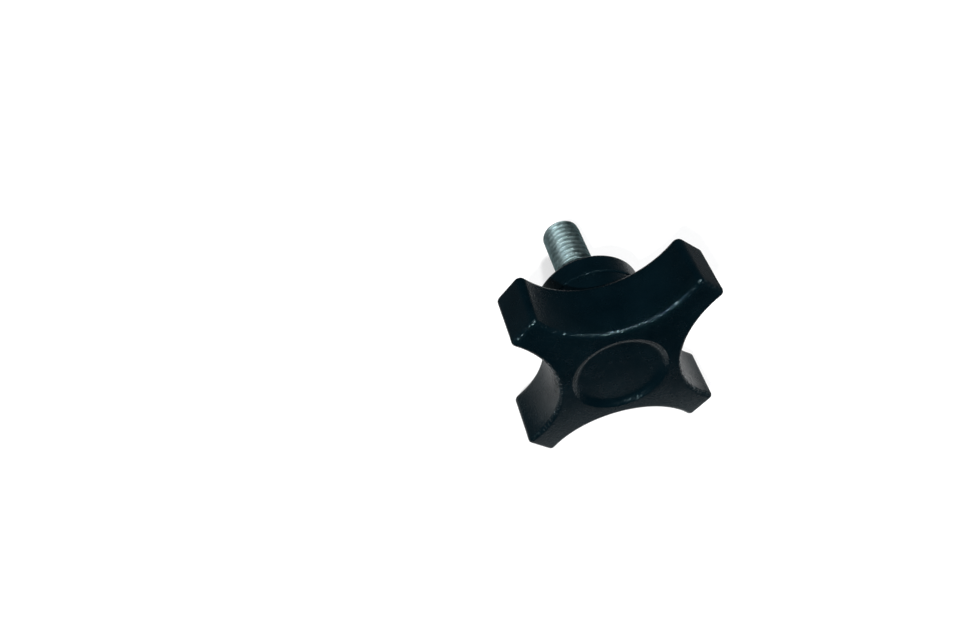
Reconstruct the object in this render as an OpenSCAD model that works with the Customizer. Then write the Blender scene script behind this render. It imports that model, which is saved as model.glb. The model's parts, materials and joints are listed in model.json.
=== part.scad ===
// Four-lobed hand knob with a threaded stud moulded into it.
//
// The knob is drawn along +Z: its crowned face looks down, the lobe tips touch
// z = 0, the hub rises behind the head and the stud leaves the hub's end.
// at_rest() then lays it down as it comes to rest, on the back corners of two
// lobes and the tip of the stud, with the face towards +X.

/* [Head] */
// Distance across two opposite lobe tips
span = 55; // [46:0.5:70]
// Thickness of the head, from the lobe tips' front edge to its back face
head_t = 14; // [10:0.5:18]
// Width of a lobe's flat tip
tip_w = 8; // [5:0.1:9]
// Distance across two opposite finger hollows
waist = 27; // [24:0.5:34]
// Height of the crowned face above the lobe tips
crown = 0.6; // [0.3:0.1:1]
// Moulding draft of the head's side walls, in degrees
draft = 1.5; // [0.5:0.5:3]
// Chamfer along the front edge
front_edge = 0.6; // [0.3:0.1:0.8]
// Rounding radius along the back edge
back_edge = 1.7; // [1.2:0.5:2.7]
// Rounding radius of the upright edges beside each lobe tip
corner_r = 1.1; // [0.6:0.1:1.4]

/* [Recess in the face] */
// Diameter of the round recess at its rim
recess_d = 21.2; // [16:0.1:23]
// Depth of the recess below the crowned face
recess_depth = 1.4; // [0.8:0.1:2.5]
// Radial width of the recess's sloping wall
recess_wall = 1.2; // [0.5:0.1:2]

/* [Hub] */
// Height of the whole moulding, from the lobe tips' front edge to the hub's end
grip_h = 25; // [22:0.5:32]
// Diameter of the hub beside the head
hub_d = 24.6; // [22:0.1:26]
// Extra diameter of the hub's outer band
band_step = 0.3; // [0.1:0.1:0.6]
// Length of the hub's outer band
band_h = 5.8; // [3:0.1:7]
// Width of the groove between hub and band
groove_w = 0.4; // [0.2:0.1:0.8]
// Depth of that groove, below the hub
groove_depth = 0.35; // [0.2:0.05:0.8]
// Rounding radius of the hub's end
hub_edge = 1.1; // [0.5:0.1:2]

/* [Stud] */
// Major diameter of the thread
thread_d = 9.525; // [7.9:0.005:12]
// Length of the stud outside the hub
stud_out = 25.4; // [20:0.1:50]
// Length of the chamfer at the stud's tip
tip_chamfer = 2.8; // [2:0.1:3.5]
// Diameter of the stud's flat end
tip_flat_d = 4; // [3:0.1:5]
// Width across flats of the hexagon head inside the grip
hex_af = 14.3; // [13:0.1:18]
// Height of the hexagon head
hex_h = 6; // [4:0.1:8]
// Plastic between the lobe tips' front plane and the hexagon head
hex_cover = 8; // [4:0.5:10]
// How much less the thread measures across inside the grip, where plastic fills it
thread_fill = 1.03; // [0.6:0.01:1.3]
// Gap round the thread where it leaves the hub
mouth_gap = 0.3; // [0.2:0.1:0.8]

/* [Hidden] */
$fn = 96;

lobes = 4;
tip_r = span / 2;
waist_r = waist / 2;
thread_r = thread_d / 2;
buried_r = thread_r - thread_fill / 2;
tip_flat_r = tip_flat_d / 2;
mouth_r = thread_r + mouth_gap;
recess_r = recess_d / 2;
stud_len = grip_h + stud_out;

// Sphere of the crowned face: it touches z = -crown on the axis and z = 0 at the tips
crown_r = (tip_r * tip_r + crown * crown) / (2 * crown);

// Finger hollow: the circle through the corners of two lobe tips and the waist.
// corner_reach is how far out a tip corner lies, measured along the hollow's middle.
corner_dist2 = tip_r * tip_r + tip_w * tip_w / 4;
corner_reach = (tip_r + tip_w / 2) / sqrt(2);
hollow_at = (corner_dist2 - waist_r * waist_r) / (2 * (corner_reach - waist_r));
hollow_r = hollow_at - waist_r;
hollow_xy = hollow_at / sqrt(2);

// Axis of the upright rounding beside a tip, for a lobe that points along +X, and
// the direction from there to the middle of the hollow
corner_x = tip_r - corner_r;
corner_y = hollow_xy - sqrt(pow(hollow_r + corner_r, 2) - pow(hollow_xy - corner_x, 2));
to_hollow = atan2(hollow_xy - corner_y, hollow_xy - corner_x);
// Distance from that axis to a sharp corner, for each millimetre to its two sides
miter = 1 / cos(to_hollow / 2);

// Centre of the back edge's rounding, measured out from the nominal side wall
back_z = head_t - back_edge;
back_x = back_z * tan(draft) - back_edge / cos(draft);
// Height at which the front chamfer reaches the drafted wall
chamfer_z = front_edge / (1 - tan(draft));
// How far the drafted wall leans out over the head's thickness
lean = head_t * tan(draft);
// Overlap that keeps cuts clear of the faces they cut
clear = 1;
// How far a rounding crosses a face it would otherwise only touch, and how far the
// rounding beside a lobe tip crosses the walls it blends into
cross = 0.03;
corner_cross = 0.06;

// The resting pose. The floor touches a point on the back corner of two lobes,
// where the upright rounding ends, and the edge where the stud's chamfer begins.
corner_down = (corner_x + corner_y) / sqrt(2);
touch_in = (corner_r + lean) / miter - corner_r - back_x;
touch_z = back_z + sqrt(back_edge * back_edge - touch_in * touch_in);
touch_down = corner_down + corner_r + lean;
chamfer_at = stud_len - tip_chamfer;
rest_tilt = atan2(touch_down - thread_r, chamfer_at - touch_z);
rest_height = thread_r * cos(rest_tilt) + chamfer_at * sin(rest_tilt);
// Ends of the lying knob along X: a lower lobe's front corner and the stud's end
rest_front = (corner_down + (corner_r - front_edge) * miter) * sin(rest_tilt);
rest_back = -stud_len * cos(rest_tilt) - tip_flat_r * sin(rest_tilt);

// Lays the knob on the floor, centred over the origin
module at_rest() {
    translate([-(rest_front + rest_back) / 2, 0, rest_height])
        rotate([0, -90 - rest_tilt, 0])
            rotate([0, 0, 45])
                children();
}

// Section through a side wall, with x measured outwards from the nominal wall
// and y along the knob's axis: chamfer, drafted wall and rounded back edge.
// It reaches inwards by depth.
module wall_section(depth) {
    polygon([
        [-depth, -crown],
        [-front_edge - crown, -crown],
        [chamfer_z * tan(draft), chamfer_z],
        [back_x + back_edge * cos(draft), back_z - back_edge * sin(draft)],
        [back_x, back_z],
        [back_x, head_t],
        [-depth, head_t]
    ]);
    translate([back_x, back_z])
        circle(back_edge);
}

// What a finger hollow takes away: everything outside wall_section, as a lathe
// cutter whose radius falls where the wall leans out and grows round both edges
module hollow_cutter() {
    rotate_extrude()
        difference() {
            polygon([
                [0, -crown - clear],
                [hollow_r + front_edge + crown + clear, -crown - clear],
                [hollow_r - chamfer_z * tan(draft), chamfer_z],
                [hollow_r - back_x - back_edge * cos(draft), back_z - back_edge * sin(draft)],
                [hollow_r - back_x, back_z],
                [hollow_r - back_x, head_t + clear],
                [0, head_t + clear]
            ]);
            translate([hollow_r - back_x, back_z + cross])
                circle(back_edge);
        }
}

// A bar with the wall section on both sides, which gives two opposite lobe tips
module tip_bar() {
    rotate([90, 0, 0])
        linear_extrude(height = 2 * (tip_r + lean), center = true)
            for (side = [0, 1])
                mirror([side, 0])
                    translate([tip_r, 0])
                        wall_section(tip_r);
}

// What rounds the sharp upright edge beside a lobe tip
module corner_cutter() {
    reach = 2 * (corner_r + lean);
    low = -crown - clear;
    high = head_t + clear;
    translate([corner_x, corner_y, low])
        difference() {
            linear_extrude(height = high - low)
                polygon([
                    [0, 0],
                    [reach, 0],
                    [reach, reach],
                    [reach * cos(to_hollow), reach * sin(to_hollow)]
                ]);
            cylinder(
                r1 = corner_r + corner_cross + low * tan(draft),
                r2 = corner_r + corner_cross + high * tan(draft),
                h = high - low
            );
        }
}

// Everything behind the crowned face and its dished recess, whose floor is flat
module behind_face() {
    floor_z = recess_depth - crown;
    slope = recess_wall / recess_depth;
    rotate_extrude()
        difference() {
            intersection() {
                translate([0, crown_r - crown])
                    circle(crown_r, $fn = 4000);
                translate([0, -crown])
                    square([span, head_t + crown]);
            }
            polygon([
                [-clear, -crown - clear],
                [recess_r + slope * clear, -crown - clear],
                [recess_r - recess_wall, floor_z],
                [-clear, floor_z]
            ]);
        }
}

// The upright corners are rounded before the hollows are cut beside them
module head() {
    difference() {
        difference() {
            intersection() {
                behind_face();
                tip_bar();
                rotate(90)
                    tip_bar();
            }
            for (k = [0 : lobes - 1])
                rotate(k * 360 / lobes)
                    for (side = [0, 1])
                        mirror([0, side, 0])
                            corner_cutter();
        }
        for (k = [0 : lobes - 1])
            rotate((k + 0.5) * 360 / lobes)
                translate([hollow_at, 0, 0])
                    hollow_cutter();
    }
}

// Hub, groove and outer band as one turned shape, with a rounded end
module hub() {
    hub_r = hub_d / 2;
    band_r = hub_r + band_step / 2;
    band_z = grip_h - band_h;
    rotate_extrude() {
        polygon([
            [0, hex_cover],
            [hub_r, hex_cover],
            [hub_r, band_z - groove_w],
            [hub_r - groove_depth, band_z - groove_w / 2],
            [band_r, band_z],
            [band_r, grip_h - hub_edge],
            [band_r - hub_edge, grip_h - hub_edge],
            [band_r - hub_edge, grip_h],
            [0, grip_h]
        ]);
        translate([band_r - hub_edge, grip_h - hub_edge])
            circle(hub_edge);
    }
}

// Stud: hexagon head, the shank that the plastic grips, the exposed thread at its
// major diameter, and a chamfered tip.
// A corner of the hexagon points at the middle of a finger hollow, so that the
// lying knob stays mirrored across y = 0.
module stud() {
    rotate(180 / lobes)
        translate([0, 0, hex_cover])
            cylinder(d = hex_af / cos(30), h = hex_h, $fn = 6);
    translate([0, 0, hex_cover])
        cylinder(r = buried_r, h = chamfer_at - hex_cover);
    translate([0, 0, grip_h])
        cylinder(r = thread_r, h = chamfer_at - grip_h);
    translate([0, 0, chamfer_at])
        cylinder(r1 = thread_r, r2 = tip_flat_r, h = tip_chamfer);
}

// Countersink round the stud at the hub's end
module mouth() {
    reach = mouth_r - buried_r + clear;
    translate([0, 0, grip_h - reach])
        cylinder(r1 = mouth_r - reach, r2 = mouth_r + clear, h = reach + clear);
}

// The plastic is moulded round the stud, so its hollow is the stud's own shape,
// with a mouth at the hub's end
module grip() {
    color([0.05, 0.07, 0.09])
        at_rest()
            difference() {
                union() {
                    head();
                    hub();
                }
                stud();
                mouth();
            }
}

module threaded_stud() {
    color([0.62, 0.66, 0.66])
        at_rest()
            stud();
}

grip();
threaded_stud();
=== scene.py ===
"""Looks of a four-lobed hand knob with a threaded stud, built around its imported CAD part.

The knob is drawn in its own frame, in millimetres: z runs along the axis from the
face to the stud, with z = 0 at the front of the lobe tips, and a lobe points along
+x. `to_row` then lays it down where the CAD has it. Materials, stage and lamps are in
metres, in the row's frame.
"""

import json
import math

import bmesh
import bpy
import numpy as np
from mathutils import Matrix, Vector


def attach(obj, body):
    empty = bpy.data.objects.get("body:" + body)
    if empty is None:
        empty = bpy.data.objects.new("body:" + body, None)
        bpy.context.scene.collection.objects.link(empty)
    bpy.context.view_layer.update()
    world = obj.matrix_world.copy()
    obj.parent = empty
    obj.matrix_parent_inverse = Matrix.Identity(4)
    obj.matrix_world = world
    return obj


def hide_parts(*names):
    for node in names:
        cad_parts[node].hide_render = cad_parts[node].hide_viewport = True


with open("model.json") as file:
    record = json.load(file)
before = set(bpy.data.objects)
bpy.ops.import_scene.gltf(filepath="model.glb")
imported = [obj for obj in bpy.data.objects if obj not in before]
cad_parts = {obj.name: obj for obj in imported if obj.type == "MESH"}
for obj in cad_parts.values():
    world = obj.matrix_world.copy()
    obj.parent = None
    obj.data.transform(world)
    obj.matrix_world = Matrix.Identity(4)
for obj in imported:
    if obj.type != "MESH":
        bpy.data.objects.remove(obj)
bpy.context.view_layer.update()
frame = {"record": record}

MM = 0.001

# ---------------------------------------------------------------- sizes, in mm
LOBES = 4
TIP_R = 27.5
TIP_W = 8.0
WAIST_R = 13.5
HEAD_T = 14.0
CROWN = 0.6
DRAFT = math.radians(1.5)
CORNER_R = 1.15
LEAST_CORNER = 0.15
FRONT_ROUND = 1.0
BACK_ROUND = 1.7

RECESS_R = 10.6
RECESS_DEPTH = 1.1
RECESS_WALL = 1.2
RECESS_LIP = 0.4
RECESS_FOOT = 2.0

GRIP_H = 25.0
HUB_R = 12.3
BAND_R = 12.45
BAND_H = 5.8
GROOVE_W = 0.4
GROOVE_DEPTH = 0.35
GROOVE_FLOOR = 0.15
GROOVE_ROUND = 0.16
HUB_ROUND = 1.1
ROOT_ROUND = 0.55
MOUTH_GAP = 0.3
MOUTH_EDGE_W = 0.1
MOUTH_EDGE_H = 0.04
SOCKET_DEPTH = 1.5
SOCKET_GAP = 0.02

THREAD_R = 9.525 / 2
PITCH = 25.4 / 16
THREAD_DEPTH = 0.49 * PITCH
# Shares of the pitch that the thread's crest and root take, and how much its flanks curve
CREST, ROOT, FLANK_CURVE = 0.2, 0.25, 0.06
STUD_OUT = 25.4
STUD_LEN = GRIP_H + STUD_OUT
TIP_CHAMFER = 2.8
TIP_FLAT_R = 2.0
# How much the chamfer's two edges are eased, and over which shares of its length
EASE, EASE_START, EASE_END = 0.12, 0.16, 0.15
STUD_LIFT = 0.05
END_TRIM = 0.02

# Worked out from those
CROWN_R = (TIP_R**2 + CROWN**2) / (2 * CROWN)
CORNER_REACH = (TIP_R + TIP_W / 2) / math.sqrt(2)
HOLLOW_AT = (TIP_R**2 + TIP_W**2 / 4 - WAIST_R**2) / (2 * (CORNER_REACH - WAIST_R))
HOLLOW_R = HOLLOW_AT - WAIST_R
HOLLOW_XY = HOLLOW_AT / math.sqrt(2)
BACK_Z = HEAD_T - BACK_ROUND
BACK_LEAN = BACK_Z * math.tan(DRAFT)
SOCKET_Z = GRIP_H - SOCKET_DEPTH

# Rings of points over each stretch of the grip
FACE_RINGS, FRONT_RINGS, WALL_RINGS, BACK_RINGS, ROOT_RINGS = 14, 9, 7, 15, 22
RECESS_STEPS = 6
# Points along each tip, corner and hollow of its plan
TIP_STEPS, CORNER_STEPS, HOLLOW_STEPS = 12, 9, 52
# Points round the stud, and rows of points to each of its turns
AROUND, PER_PITCH = 120, 20

# What counts as one point, as no length and as no area when a mesh is cleaned
SAME_POINT, NO_LENGTH, NO_AREA = 1e-4, 1e-5, 1e-9
# Edges that bend by more than this are shaded as sharp
GRIP_SMOOTH, STUD_SMOOTH = math.radians(40), math.radians(75)


# ------------------------------------------------------------------- placement
def axis_frame():
    """Matrix from the knob's own frame, in mm, to the row frame, in metres."""
    mount = {m["name"]: m for m in frame["record"]["mounts"]}["stud"]
    axis = Vector(mount["axis"]).normalized()
    middle = Vector(mount["pos_m"])
    hub_end = middle - axis * (mount["dims"]["length_mm"] * MM / 2)
    origin = hub_end - axis * (GRIP_H * MM)
    side = Vector((0, 1, 0))
    down = side.cross(axis)
    # The middle of a hollow, halfway between lobes 3 and 0, points down
    x_axis = (down - side) / math.sqrt(2)
    y_axis = axis.cross(x_axis)
    turn = Matrix((x_axis, y_axis, axis)).transposed().to_4x4()
    return Matrix.Translation(origin) @ turn @ Matrix.Scale(MM, 4)


to_row = axis_frame()


# ------------------------------------------------------------------ mesh tools
def arc(centre, size, start, end, count):
    """count points along an arc, its end left out, as an array of (x, y)."""
    turn = start + (end - start) * np.arange(count) / count
    return np.column_stack([centre[0] + size * np.cos(turn), centre[1] + size * np.sin(turn)])


def line(start, end, count):
    """count points from start towards end, end left out."""
    step = np.arange(count)[:, None] / count
    return np.array(start) + (np.array(end) - np.array(start)) * step


def spun(points, turn):
    """The points, turned about the axis."""
    c, s = math.cos(turn), math.sin(turn)
    return points @ np.array([[c, s], [-s, c]])


def head_outline(out, corner):
    """The head's plan, moved out by `out` from its nominal wall, with corners of that radius."""
    tip = TIP_R + out
    hollow = HOLLOW_R - out
    cx = tip - corner
    cy = HOLLOW_XY - math.sqrt((hollow + corner) ** 2 - (HOLLOW_XY - cx) ** 2)
    bend = math.atan2(HOLLOW_XY - cy, HOLLOW_XY - cx)
    quarter = np.vstack(
        [
            line((tip, -cy), (tip, cy), TIP_STEPS),
            arc((cx, cy), corner, 0, bend, CORNER_STEPS),
            arc((HOLLOW_XY, HOLLOW_XY), hollow, bend + math.pi, 1.5 * math.pi - bend, HOLLOW_STEPS),
            arc((cy, cx), corner, math.pi / 2 - bend, math.pi / 2, CORNER_STEPS),
        ]
    )
    return np.vstack([spun(quarter, k * 2 * math.pi / LOBES) for k in range(LOBES)])


def rings_to_mesh(name, rings, start, end):
    """A closed mesh over rings of as many points each, capped by a fan at start and end."""
    count = len(rings[0])
    vertices = [tuple(p) for p in np.vstack(rings)] + [start, end]
    faces = []
    for low in range(len(rings) - 1):
        a, b = low * count, (low + 1) * count
        for i in range(count):
            j = (i + 1) % count
            faces.append((a + i, a + j, b + j, b + i))
    last = (len(rings) - 1) * count
    start_tip, end_tip = last + count, last + count + 1
    faces += [(start_tip, (i + 1) % count, i) for i in range(count)]
    faces += [(end_tip, last + i, last + (i + 1) % count) for i in range(count)]
    mesh = bpy.data.meshes.new(name)
    mesh.from_pydata(vertices, [], faces)
    mesh.validate()
    return mesh


def weld(work):
    """Merges the points that coincide and dissolves what is left without length."""
    bmesh.ops.remove_doubles(work, verts=work.verts, dist=SAME_POINT)
    bmesh.ops.dissolve_degenerate(work, dist=NO_LENGTH, edges=work.edges)


def make_piece(mesh, smooth_angle):
    """Cleans the mesh, lays it in the row frame and rides it on the part's one body."""
    work = bmesh.new()
    work.from_mesh(mesh)
    weld(work)
    bmesh.ops.recalc_face_normals(work, faces=work.faces)
    work.to_mesh(mesh)
    work.free()
    mesh.transform(to_row)
    mesh.shade_smooth()
    mesh.set_sharp_from_angle(angle=smooth_angle)
    piece = bpy.data.objects.new(mesh.name, mesh)
    bpy.context.scene.collection.objects.link(piece)
    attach(piece, "root")
    return piece


# ------------------------------------------------------------------------ grip
def face_z(r):
    """Height of the crowned face at distance r from the axis."""
    return -CROWN + CROWN_R - np.sqrt(CROWN_R**2 - r**2)


def with_z(plan, z):
    """A plan's points at the height z, or each at its own height."""
    return np.column_stack([plan, np.broadcast_to(z, len(plan))])


def radius(plan):
    """Distance of each point from the axis."""
    return np.hypot(plan[:, 0], plan[:, 1])


def on_circle(plan, r):
    """The points of plan, moved along their rays to a circle of radius r."""
    return plan * (r / radius(plan))[:, None]


def lathe_rings(rays, profile):
    """Rings on the rays' directions for each (r, z) of a profile."""
    return [with_z(on_circle(rays, r), z) for r, z in profile]


def round_profile(r, z, size, start, end, steps):
    """Points of a rounding about (r, z), angles in degrees, both ends in."""
    turns = np.radians(np.linspace(start, end, steps + 1))
    return [(r + size * math.cos(t), z + size * math.sin(t)) for t in turns]


def recess_profile():
    """The dished recess from its centre out to where its lip meets the face."""
    floor_z = RECESS_DEPTH - CROWN
    rim_z = float(face_z(RECESS_R))
    slope = math.degrees(math.atan2(floor_z - rim_z, RECESS_WALL))
    half = math.radians(slope / 2)
    foot_r = RECESS_R - RECESS_WALL - RECESS_FOOT * math.tan(half)
    lip_r = RECESS_R + RECESS_LIP * math.tan(half)
    flat = [(foot_r * k / RECESS_STEPS, floor_z) for k in range(1, RECESS_STEPS)]
    foot = round_profile(foot_r, floor_z - RECESS_FOOT, RECESS_FOOT, 90, 90 - slope, RECESS_STEPS)
    lip = round_profile(lip_r, rim_z + RECESS_LIP, RECESS_LIP, 270 - slope, 270, RECESS_STEPS)
    return flat + foot + lip


def face_rings(lip_r, rim):
    """The crowned face, from the recess's lip out to the head's front rounding."""
    rings = []
    for step in np.linspace(0, 1, FACE_RINGS)[1:-1]:
        plan = on_circle(rim, lip_r) * (1 - step) + rim * step
        rings.append(with_z(plan, face_z(radius(plan))))
    return rings


def front_rings():
    """The rounding between the face and the drafted wall."""
    centre = FRONT_ROUND * (math.tan(DRAFT) - 1 / math.cos(DRAFT))
    rings = []
    for turn in np.linspace(-math.pi / 2, -DRAFT, FRONT_RINGS):
        reach = FRONT_ROUND * math.cos(turn)
        corner = max(LEAST_CORNER, CORNER_R - FRONT_ROUND + reach)
        plan = head_outline(centre + reach, corner)
        rings.append(with_z(plan, face_z(radius(plan)) + FRONT_ROUND * (1 + math.sin(turn))))
    return rings


def wall_rings(front):
    """The drafted wall, from the front rounding's last ring to the back rounding."""
    rings = []
    for step in np.linspace(0, 1, WALL_RINGS)[1:-1]:
        lean = BACK_LEAN * step
        z = front[:, 2] * (1 - step) + BACK_Z * step
        rings.append(with_z(head_outline(lean, CORNER_R + lean), z))
    return rings


def back_rings():
    """The back rounding, which turns the upright corners into parts of a ball."""
    centre = BACK_LEAN - BACK_ROUND / math.cos(DRAFT)
    widest = CORNER_R + BACK_LEAN
    ball = BACK_ROUND * math.cos(math.pi / 4)
    rings = []
    for turn in np.linspace(-DRAFT, math.pi / 2, BACK_RINGS):
        if turn < math.pi / 4:
            corner = widest + (ball - widest) * max(0, math.sin(2 * turn))
        else:
            corner = max(LEAST_CORNER, BACK_ROUND * math.cos(turn))
        plan = head_outline(centre + BACK_ROUND * math.cos(turn), corner)
        rings.append(with_z(plan, BACK_Z + BACK_ROUND * math.sin(turn)))
    return rings


def wall_distance(plan):
    """How far each point lies inside the nearest hollow's wall, at the back rounding."""
    folded = np.abs(plan)
    gap = np.hypot(folded[:, 0] - HOLLOW_XY, folded[:, 1] - HOLLOW_XY)
    return gap - (HOLLOW_R - BACK_LEAN)


def root_rings(last):
    """The head's back, from the end of its back rounding in to the hub, blended at the root.

    The rings close in on the hub ever more slowly, on a run that ends `past` inside it,
    and `soft` is how softly they stop at the hub's wall."""
    past, closing, soft = 1.0, 1.6, 0.35
    rings = []
    inner = on_circle(last[:, :2], 1)
    start = radius(last[:, :2]) - HUB_R
    for step in np.linspace(0, 1, ROOT_RINGS)[1:]:
        run = (start + past) * (1 - step) ** closing - past
        reach = (run + np.sqrt(run**2 + soft**2)) / 2
        if step == 1:
            reach = np.zeros(len(run))
        plan = inner * (HUB_R + reach)[:, None]
        depth = np.clip(BACK_ROUND - wall_distance(plan), 0, BACK_ROUND)
        z = BACK_Z + np.sqrt(BACK_ROUND**2 - depth**2)
        foot = np.clip(ROOT_ROUND - reach, 0, ROOT_ROUND)
        z = z + ROOT_ROUND - np.sqrt(ROOT_ROUND**2 - foot**2)
        rings.append(with_z(plan, z))
    return rings


def hub_profile():
    """The hub from above its root to the stud's socket: groove, band and rounded end."""
    root_end = HEAD_T + 1.2
    band_z = GRIP_H - BAND_H
    groove_z = band_z - GROOVE_W
    groove_r = HUB_R - GROOVE_DEPTH
    middle = band_z - GROOVE_W / 2
    wall_start, wall_end = band_z + 0.6, GRIP_H - HUB_ROUND - 0.5
    end_r = BAND_R - HUB_ROUND
    mouth_r = THREAD_R + MOUTH_GAP
    socket_r = THREAD_R + SOCKET_GAP
    profile = [(HUB_R, z) for z in np.linspace(root_end, groove_z - GROOVE_ROUND, 5)]
    profile += round_profile(HUB_R - GROOVE_ROUND, groove_z - GROOVE_ROUND, GROOVE_ROUND, 15, 75, 3)
    profile += [(groove_r, middle - GROOVE_FLOOR / 2), (groove_r, middle + GROOVE_FLOOR / 2)]
    profile += round_profile(BAND_R - GROOVE_ROUND, band_z + GROOVE_ROUND, GROOVE_ROUND, -75, 0, 4)
    profile += [(BAND_R, z) for z in np.linspace(wall_start, wall_end, 4)]
    profile += round_profile(end_r, GRIP_H - HUB_ROUND, HUB_ROUND, 0, 90, 12)
    profile += [(r, GRIP_H) for r in np.linspace(end_r, mouth_r + MOUTH_EDGE_W, 7)[1:]]
    profile += [(mouth_r, GRIP_H - MOUTH_EDGE_H), (socket_r, GRIP_H - MOUTH_GAP), (socket_r, SOCKET_Z)]
    return profile


def build_grip():
    """The whole moulding as one closed run of rings, from the recess's middle to the socket's."""
    front = front_rings()
    sides = front + wall_rings(front[-1]) + back_rings()
    rim = sides[0][:, :2]
    recess = recess_profile()
    back = root_rings(sides[-1])
    rings = lathe_rings(rim, recess) + face_rings(recess[-1][0], rim) + sides + back
    rings += lathe_rings(back[-1][:, :2], hub_profile())
    centre = (0, 0, recess[0][1])
    socket = (0, 0, SOCKET_Z)
    return make_piece(rings_to_mesh("moulded_grip", rings, centre, socket), GRIP_SMOOTH)


# ----------------------------------------------------------------------- stud
def thread_radius(phase):
    """Radius of the thread at a phase of 0 to 1 along its pitch: crest, flank, root, flank."""
    swing = np.abs(((phase + 0.5) % 1) - 0.5) * 2
    fall = np.clip((swing - CREST) / (1 - CREST - ROOT), 0, 1)
    return THREAD_R - THREAD_DEPTH * (fall - FLANK_CURVE * np.sin(2 * math.pi * fall))


def tip_limit(z):
    """Largest radius the chamfered tip leaves at z, its two edges eased."""
    t = (z - (STUD_LEN - TIP_CHAMFER)) / TIP_CHAMFER
    cone = THREAD_R + (TIP_FLAT_R - THREAD_R) * t
    eased = cone - EASE / 2 * math.exp(-((t / EASE_START) ** 2))
    return min(THREAD_R, eased - EASE * max(0.0, (t - (1 - EASE_END)) / EASE_END) ** 2)


def thread_rows():
    """Points and faces of the thread, as rows that climb one pitch in a turn.

    A row's end meets the start of the row one pitch on, and that seam is welded later."""
    first = SOCKET_Z + STUD_LIFT
    last = STUD_LEN - END_TRIM
    rows = int(math.ceil((last - first) / PITCH) + 1) * PER_PITCH
    points, faces = [], []
    for row in range(-PER_PITCH, rows + 1):
        thread_r = float(thread_radius(row / PER_PITCH))
        for step in range(AROUND + 1):
            turn = step / AROUND
            z = first + PITCH * (row / PER_PITCH + turn)
            z = min(max(z, first), last)
            r = min(thread_r, tip_limit(z))
            if z <= first:
                r = THREAD_R - THREAD_DEPTH
            angle = 2 * math.pi * turn
            points.append((r * math.cos(angle), r * math.sin(angle), z))
    width = AROUND + 1
    for row in range(rows + PER_PITCH):
        for step in range(AROUND):
            a = row * width + step
            faces.append((a, a + 1, a + 1 + width, a + width))
    return points, faces


def build_threaded_stud():
    """The stud's thread and chamfered tip, welded along the seam and closed at both ends."""
    points, faces = thread_rows()
    mesh = bpy.data.meshes.new("zinc_stud")
    mesh.from_pydata(points, [], faces)
    work = bmesh.new()
    work.from_mesh(mesh)
    weld(work)
    empty = [f for f in work.faces if f.calc_area() < NO_AREA]
    bmesh.ops.delete(work, geom=empty, context="FACES")
    bmesh.ops.holes_fill(work, edges=[e for e in work.edges if e.is_boundary], sides=0)
    work.to_mesh(mesh)
    work.free()
    return make_piece(mesh, STUD_SMOOTH)


grip = build_grip()
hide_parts("grip")
stud = build_threaded_stud()
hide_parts("threaded_stud")


# ------------------------------------------------------------------- materials
# Strength of the plastic's reflections in general, and in the specks on its front edges, where it is
# raised far past the plastic's own to paint brighter glints
SPECULAR, SPARKLE = 0.17, 1.6


class Nodes:
    """Short calls for building a node tree."""

    def __init__(self, tree):
        self.tree = tree
        tree.nodes.clear()

    def add(self, kind, **settings):
        """A new node. Each setting is one of its inputs or, failing that, its properties."""
        node = self.tree.nodes.new(kind)
        for key, value in settings.items():
            if key in node.inputs:
                node.inputs[key].default_value = value
            else:
                setattr(node, key, value)
        return node

    def link(self, source, target):
        """Feeds target from a socket, or sets it to a constant."""
        if isinstance(source, bpy.types.NodeSocket):
            self.tree.links.new(source, target)
        else:
            target.default_value = source

    def end(self, shader, kind="ShaderNodeOutputMaterial"):
        """Ends the tree in this shader."""
        self.link(shader, self.add(kind).inputs["Surface"])


def new_material(name):
    """An empty material and the nodes to fill it with."""
    material = bpy.data.materials.new(name)
    material.use_nodes = True
    return material, Nodes(material.node_tree)


def coordinates(n, kind="Object"):
    """Where a point lies: in metres for Object, as a direction for the world's Generated."""
    return n.add("ShaderNodeTexCoord").outputs[kind]


def ramp(n, value, start, end, low, high, **settings):
    """value from start to end, mapped to low to high."""
    limits = {"From Min": start, "From Max": end, "To Min": low, "To Max": high}
    spread = n.add("ShaderNodeMapRange", **limits, **settings)
    n.link(value, spread.inputs["Value"])
    return spread.outputs["Result"]


def combine(n, operation, *values):
    """One Math operation over all the values, which are sockets or numbers."""
    total = values[0]
    for value in values[1:]:
        node = n.add("ShaderNodeMath", operation=operation)
        n.link(total, node.inputs[0])
        n.link(value, node.inputs[1])
        total = node.outputs["Value"]
    return total


def vectors(n, operation, *values):
    """One step of vector arithmetic, as the node's outputs by name."""
    node = n.add("ShaderNodeVectorMath", operation=operation)
    for value, socket in zip(values, node.inputs):
        n.link(value, socket)
    return node.outputs


def noise(n, coords, scale, detail=2.0, low=0.0, high=1.0):
    """A noise texture over coords, spread to run from about low to high."""
    texture = n.add("ShaderNodeTexNoise", Scale=scale, Detail=detail)
    n.link(coords, texture.inputs["Vector"])
    usual_low, usual_high = 0.3, 0.7
    return ramp(n, texture.outputs["Fac"], usual_low, usual_high, low, high, clamp=False)


def blend(n, factor, first, second):
    """A colour between first and second."""
    mix = n.add("ShaderNodeMix", data_type="RGBA")
    mix.inputs["A"].default_value = (*first, 1)
    mix.inputs["B"].default_value = (*second, 1)
    n.link(factor, mix.inputs["Factor"])
    return mix.outputs["Result"]


def bumps(n, height, strength, distance, under=None):
    """Normals of a bumpy surface, on top of the bumps under it."""
    bump = n.add("ShaderNodeBump", Strength=strength, Distance=distance)
    n.link(height, bump.inputs["Height"])
    if under is not None:
        n.link(under, bump.inputs["Normal"])
    return bump.outputs["Normal"]


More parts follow.
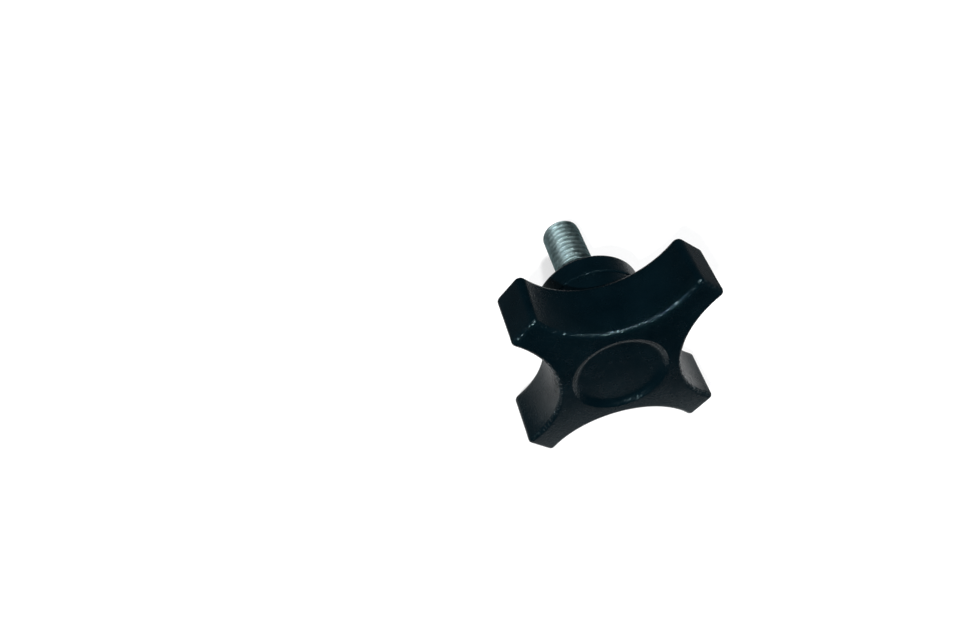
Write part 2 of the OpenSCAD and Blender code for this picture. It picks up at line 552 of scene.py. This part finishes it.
def edge_mask(n, where):
    """Up to 1 on the head's front rounding, up to 0.3 on the recess's wall, 0 on the face,
    the side walls and the back. The hub band's small front edge gets some of it too."""
    axis = (to_row.to_3x3() @ Vector((0, 0, 1))).normalized()
    normal = n.add("ShaderNodeNewGeometry").outputs["Normal"]
    ahead = vectors(n, "DOT_PRODUCT", normal, -axis)["Value"]
    offset = vectors(n, "SUBTRACT", where, to_row.translation)["Vector"]
    across = vectors(n, "CROSS_PRODUCT", offset, axis)["Vector"]
    away = vectors(n, "LENGTH", across)["Value"]
    past_walls = ramp(n, ahead, 0.2, 0.4, 0.0, 1.0)
    short_of_face = ramp(n, ahead, 0.9, 0.98, 1.0, 0.0)
    past_recess = ramp(n, away, 11.5 * MM, 12.5 * MM, 0.3, 1.0)
    return combine(n, "MULTIPLY", past_walls, short_of_face, past_recess)


def plastic():
    """Black plastic with a fine grain, polished and pitted front edges, and specks of painted highlight
    on those edges.
    """
    material, n = new_material("black_plastic")
    bsdf = n.add("ShaderNodeBsdfPrincipled", IOR=1.5)
    bsdf.inputs["Specular Tint"].default_value = (0.66, 0.93, 1.0, 1)
    where = coordinates(n)
    edges = edge_mask(n, where)
    tone = noise(n, where, 130.0, 4.0)
    n.link(blend(n, tone, (0.0003, 0.0026, 0.0042), (0.001, 0.0045, 0.0068)), bsdf.inputs["Base Color"])
    rough = noise(n, where, 420.0, 5.0, 0.2, 0.3)
    polish = combine(n, "MULTIPLY", edges, noise(n, where, 900.0, 2.0, 0.08, 0.22))
    n.link(combine(n, "SUBTRACT", rough, polish), bsdf.inputs["Roughness"])
    dots = ramp(n, noise(n, where, 1700.0), 0.6, 0.85, 0.0, 1.0)
    painted_glint_specks = combine(n, "MULTIPLY", edges, dots)
    # Painted highlight: the specks reflect up to SPARKLE, far more than the plastic's own SPECULAR, to
    # put bright glints on the edges
    n.link(ramp(n, painted_glint_specks, 0.0, 1.0, SPECULAR, SPARKLE), bsdf.inputs["Specular IOR Level"])
    swell = bumps(n, noise(n, where, 60.0, 1.0), 0.6, 0.03 * MM)
    grain = bumps(n, noise(n, where, 3000.0, 1.0), 0.9, 0.02 * MM, swell)
    pits = combine(n, "MULTIPLY", edges, noise(n, where, 2000.0, 1.0))
    n.link(bumps(n, pits, 1.0, 0.12 * MM, grain), bsdf.inputs["Normal"])
    n.end(bsdf.outputs["BSDF"])
    return material


def zinc():
    """Dull, slightly blotchy zinc plate."""
    material, n = new_material("zinc_plate")
    bsdf = n.add("ShaderNodeBsdfPrincipled", Metallic=1.0)
    bsdf.inputs["Specular Tint"].default_value = (0.35, 0.45, 0.48, 1)
    where = coordinates(n)
    tone = noise(n, where, 700.0, 5.0)
    n.link(blend(n, tone, (0.10, 0.15, 0.155), (0.2, 0.27, 0.275)), bsdf.inputs["Base Color"])
    n.link(noise(n, where, 1100.0, 4.0, 0.3, 0.5), bsdf.inputs["Roughness"])
    n.link(bumps(n, noise(n, where, 4200.0), 0.8, 0.02 * MM), bsdf.inputs["Normal"])
    n.end(bsdf.outputs["BSDF"])
    return material


grip.data.materials.append(plastic())
stud.data.materials.append(zinc())


# ----------------------------------------------------------------------- stage
FLOOR_HALF = 3.0
# The floor's own glow near the knob and far from it, and where the one goes over into the other
NEAR_GLOW, FAR_GLOW = 0.68, 0.8
NEAR, FAR = 0.15, 1.1
# The share of that glow that glossy rays see
MIRRORED = 0.2

# The band round the knob that paints dark and glowing reflections into the plastic
SURROUND_R = 48 * MM
SURROUND_LOW, SURROUND_HIGH = 0.5 * MM, 130 * MM
SURROUND_SIDES = 64


def background_rays(n):
    """How much of the floor's glow a ray sees: camera and transmission rays all of it,
    glossy rays MIRRORED of it, the rest none."""
    path = n.add("ShaderNodeLightPath").outputs
    glossy = combine(n, "MULTIPLY", path["Is Glossy Ray"], MIRRORED)
    return combine(n, "MAXIMUM", path["Is Camera Ray"], glossy, path["Is Transmission Ray"])


def stage_mesh(name, points, faces, material):
    """A sheet that belongs to the stage and not to the part."""
    mesh = bpy.data.meshes.new(name)
    mesh.from_pydata(points, [], faces)
    mesh.materials.append(material)
    sheet = bpy.data.objects.new(name, mesh)
    bpy.context.scene.collection.objects.link(sheet)
    return sheet


def floor_material():
    """White paper, which glows a little more farther out, where the lamps light it less."""
    material, n = new_material("white_floor")
    diffuse = n.add("ShaderNodeBsdfDiffuse", Color=(0.34, 0.34, 0.34, 1))
    light = n.add("ShaderNodeEmission")
    away = vectors(n, "LENGTH", coordinates(n))["Value"]
    glow = ramp(n, away, NEAR, FAR, NEAR_GLOW, FAR_GLOW, interpolation_type="SMOOTHSTEP")
    n.link(combine(n, "MULTIPLY", background_rays(n), glow), light.inputs["Strength"])
    both = n.add("ShaderNodeAddShader")
    n.link(diffuse.outputs["BSDF"], both.inputs[0])
    n.link(light.outputs["Emission"], both.inputs[1])
    n.end(both.outputs["Shader"])
    return material


def painted_reflection_material():
    """Painted reflection: dark, with a painted glow low down, a little at the two sides, and faintly in
    front of the face.
    """
    material, n = new_material("surround")
    light = n.add("ShaderNodeEmission", Color=(0.9, 0.97, 1.0, 1))
    split = n.add("ShaderNodeSeparateXYZ")
    n.link(coordinates(n), split.inputs["Vector"])
    x, y, z = (split.outputs[name] for name in "XYZ")
    aside = n.add("ShaderNodeMath", operation="ABSOLUTE")
    n.link(y, aside.inputs[0])
    low_down = ramp(n, z, 0.0, 14.5 * MM, low=0.2, high=0.0)
    to_a_side = ramp(n, aside.outputs["Value"], 24 * MM, 40 * MM, low=0.0, high=1.0)
    side_glow = ramp(n, z, 34 * MM, 75 * MM, low=0.12, high=0.03)
    in_front = ramp(n, x, 0.0, 30 * MM, low=0.0, high=1.0)
    front_glow = ramp(n, z, 35 * MM, 130 * MM, low=0.0, high=0.12)
    sides = combine(n, "MULTIPLY", to_a_side, side_glow)
    front = combine(n, "MULTIPLY", in_front, front_glow)
    # Painted reflection: the band glows here though it is no lamp, and only the plastic's reflections
    # see it
    n.link(combine(n, "ADD", low_down, sides, front), light.inputs["Strength"])
    n.end(light.outputs["Emission"])
    return material


def white_floor():
    """The sheet that the knob lies on."""
    corners = [(FLOOR_HALF * x, FLOOR_HALF * y, 0) for x, y in ((-1, -1), (1, -1), (1, 1), (-1, 1))]
    stage_mesh("floor", corners, [(0, 1, 2, 3)], floor_material())


def painted_reflection_band():
    """A band round the knob that only reflections see. It paints dark and glowing reflections into the
    plastic, so that the knob's walls mirror the floor close by and the lamps above, with painted dark
    in between."""
    sides = SURROUND_SIDES
    turns = [2 * math.pi * k / sides for k in range(sides)]
    ring = [(SURROUND_R * math.cos(t), SURROUND_R * math.sin(t)) for t in turns]
    points = [(x, y, z) for z in (SURROUND_LOW, SURROUND_HIGH) for x, y in ring]
    faces = [(k, (k + 1) % sides, sides + (k + 1) % sides, sides + k) for k in range(sides)]
    band = stage_mesh("painted_reflection_band", points, faces, painted_reflection_material())
    band.visible_camera = False
    band.visible_diffuse = False
    band.visible_shadow = False
    band.visible_transmission = False


white_floor()
painted_reflection_band()


def add_lamp(name, place, aim, size, power):
    """A round lamp, size across, in watts."""
    lamp = bpy.data.lights.new(name, "AREA")
    lamp.shape = "DISK"
    lamp.size = size
    lamp.energy = power
    holder = bpy.data.objects.new(name, lamp)
    holder.location = place
    holder.rotation_euler = (Vector(aim) - Vector(place)).to_track_quat("-Z", "Y").to_euler()
    bpy.context.scene.collection.objects.link(holder)


add_lamp("soft", place=(-0.03, 0.05, 0.5), aim=(0, 0, 0), size=0.3, power=0.5)
add_lamp("key", place=(-0.04, 0.12, 0.5), aim=(0, 0, 0), size=0.08, power=1.5)
add_lamp("fill", place=(0.2, -0.16, 0.48), aim=(0, 0, 0.02), size=0.02, power=4.0)


def studio_world():
    """A dim studio, pale along the horizon, and pale all over where the camera looks at it."""
    pale, dim = (0.78, 0.79, 0.8), (0.06, 0.075, 0.085)
    world = bpy.data.worlds.new("studio")
    world.use_nodes = True
    n = Nodes(world.node_tree)
    sky = n.add("ShaderNodeBackground")
    split = n.add("ShaderNodeSeparateXYZ")
    n.link(coordinates(n, "Generated"), split.inputs["Vector"])
    rise = ramp(n, split.outputs["Z"], 0.12, 0.34, 0.0, 1.0, interpolation_type="SMOOTHSTEP")
    path = n.add("ShaderNodeLightPath").outputs
    seen = combine(n, "MAXIMUM", path["Is Camera Ray"], path["Is Transmission Ray"])
    unseen = combine(n, "SUBTRACT", 1.0, seen)
    n.link(blend(n, combine(n, "MULTIPLY", rise, unseen), pale, dim), sky.inputs["Color"])
    n.end(sky.outputs["Background"], "ShaderNodeOutputWorld")
    bpy.context.scene.world = world


studio_world()


# ---------------------------------------------------------------------- camera
CAMERA_AT = Vector((49.49, -31.14, 186.76)) * MM
AZIMUTH, ELEVATION, ROLL = 84.293, 72.548, -8.382
SENSOR_WIDTH, LENS = 36.0, 28.9
CLIP_START = 10 * MM


def aim_camera():
    """The photograph's camera: turned by AZIMUTH from +y, looking down by ELEVATION, and rolled."""
    camera = bpy.data.cameras.new("camera")
    camera.sensor_width = SENSOR_WIDTH
    camera.lens = LENS
    camera.clip_start = CLIP_START
    holder = bpy.data.objects.new("camera", camera)
    azimuth, elevation, roll = (math.radians(a) for a in (AZIMUTH, ELEVATION, ROLL))
    flat = math.cos(elevation)
    ahead = Vector((-math.sin(azimuth) * flat, math.cos(azimuth) * flat, -math.sin(elevation)))
    level = ahead.cross(Vector((0, 0, 1))).normalized()
    upright = level.cross(ahead)
    right = level * math.cos(roll) + upright * math.sin(roll)
    up = right.cross(ahead)
    turn = Matrix((right, up, -ahead)).transposed().to_4x4()
    holder.matrix_world = Matrix.Translation(CAMERA_AT) @ turn
    bpy.context.scene.collection.objects.link(holder)
    bpy.context.scene.camera = holder


aim_camera()
bpy.context.scene.view_settings.view_transform = "Standard"
